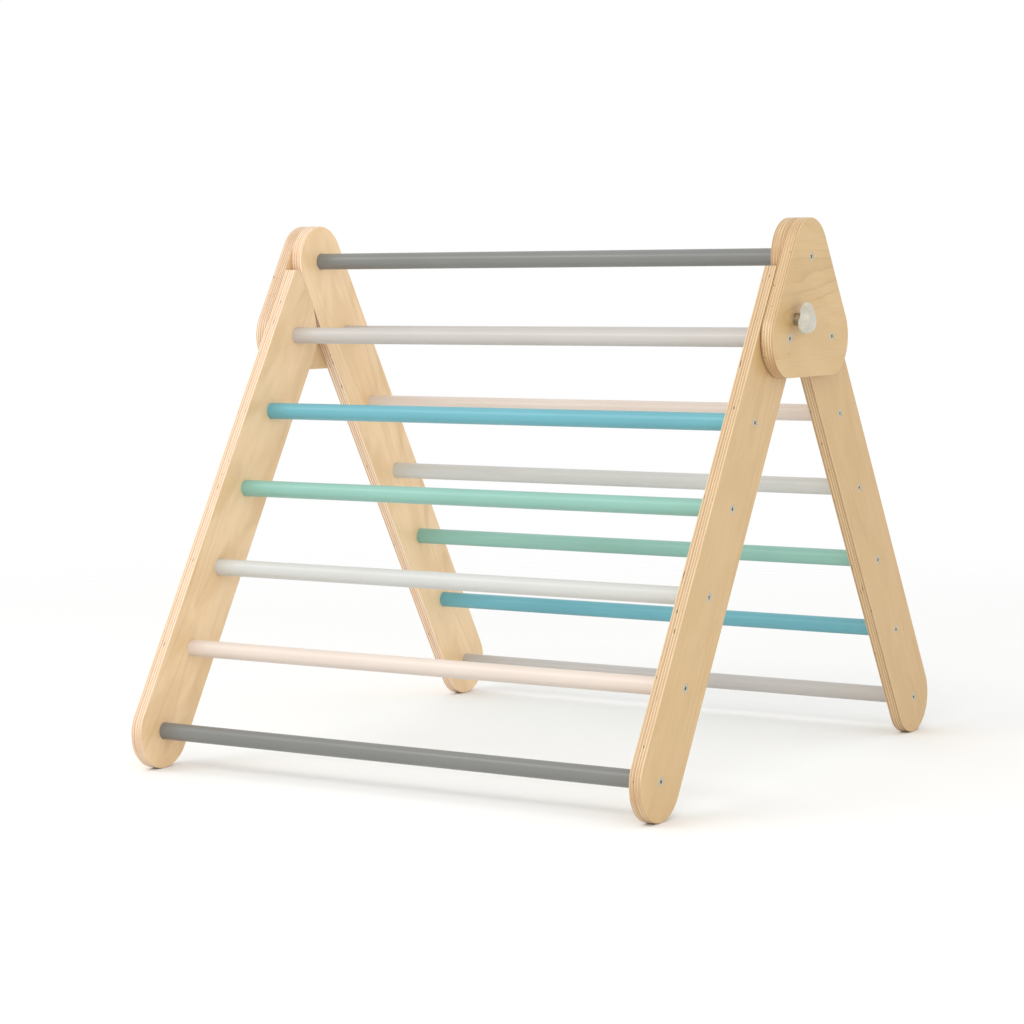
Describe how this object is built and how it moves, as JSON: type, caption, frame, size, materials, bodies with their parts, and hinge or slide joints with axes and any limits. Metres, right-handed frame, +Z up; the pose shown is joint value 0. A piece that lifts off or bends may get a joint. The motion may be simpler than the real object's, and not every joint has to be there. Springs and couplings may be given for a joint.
{
  "type": "folding climbing triangle",
  "caption": "Free-standing folding climbing frame: two ladders of round rungs between plywood side boards, hinged at the top by rounded plates with three-lobed spring pull knobs.",
  "frame": {"origin": "on the floor, at the middle of the footprint of the opened frame", "axes": "+X along the rungs to the right-hand end, +Y towards the rear ladder, +Z up"},
  "size_m": [0.902, 0.897, 0.7643],
  "materials": {
    "birch_board": "clear satin lacquer on birch plywood",
    "birch_plate": "clear satin lacquer on birch plywood",
    "paint_dark_grey": "satin dark grey paint",
    "paint_light_grey": "satin light warm grey paint",
    "paint_blue": "satin pastel blue paint",
    "paint_mint": "satin mint green paint",
    "paint_white": "satin near-white paint",
    "paint_beige": "satin beige paint",
    "zinc_screw": "bright zinc plate",
    "dull_steel": "dull steel",
    "spring_steel": "oiled spring wire",
    "brass": "turned brass",
    "nylon": "natural nylon",
    "off_white_knob": "satin off-white"
  },
  "bodies": {
    "rear_ladder": {"rear_board_left": "birch_board", "rear_board_right": "birch_board", "hinge_plate_left": "birch_plate", "hinge_plate_right": "birch_plate", "top_rung": "paint_dark_grey", "rear_rung_1": "paint_light_grey", "rear_rung_2": "paint_beige", "rear_rung_3": "paint_white", "rear_rung_4": "paint_mint", "rear_rung_5": "paint_blue", "rear_rung_6": "paint_light_grey", "hinge_plate_screws": "zinc_screw", "rear_rung_screws": "zinc_screw", "pivot_bush_left": "nylon", "pivot_bush_right": "nylon", "lock_barrel_left": "dull_steel", "lock_barrel_right": "dull_steel", "lock_barrel_cap_left": "dull_steel", "lock_barrel_cap_right": "dull_steel", "lock_spring_left": "spring_steel", "lock_spring_right": "spring_steel"},
    "front_ladder": {"front_board_left": "birch_board", "front_board_right": "birch_board", "front_rung_1": "paint_light_grey", "front_rung_2": "paint_blue", "front_rung_3": "paint_mint", "front_rung_4": "paint_white", "front_rung_5": "paint_beige", "front_rung_6": "paint_dark_grey", "front_rung_screws": "zinc_screw", "pivot_bolt_left": "zinc_screw", "pivot_bolt_right": "zinc_screw", "pivot_washer_left": "nylon", "pivot_washer_right": "nylon", "pivot_insert_left": "brass", "pivot_insert_right": "brass"},
    "lock_left": {"lock_pin_left": "dull_steel", "lock_knob_left": "off_white_knob"},
    "lock_right": {"lock_pin_right": "dull_steel", "lock_knob_right": "off_white_knob"}
  },
  "joints": [
    {"name": "fold", "type": "hinge", "parent": "rear_ladder", "child": "front_ladder", "pos_m": [0, -0.06592, 0.60159], "axis": [1, 0, 0], "range_deg": [0, 62]},
    {"name": "pull_knob_left", "type": "slide", "parent": "rear_ladder", "child": "lock_left", "axis": [-1, 0, 0], "range_m": [0, 0.011], "stiffness_N_per_m": 700, "springref_m": -0.006, "deforming": ["lock_spring_left"]},
    {"name": "pull_knob_right", "type": "slide", "parent": "rear_ladder", "child": "lock_right", "axis": [1, 0, 0], "range_m": [0, 0.011], "stiffness_N_per_m": 700, "springref_m": -0.006, "deforming": ["lock_spring_right"]}
  ]
}
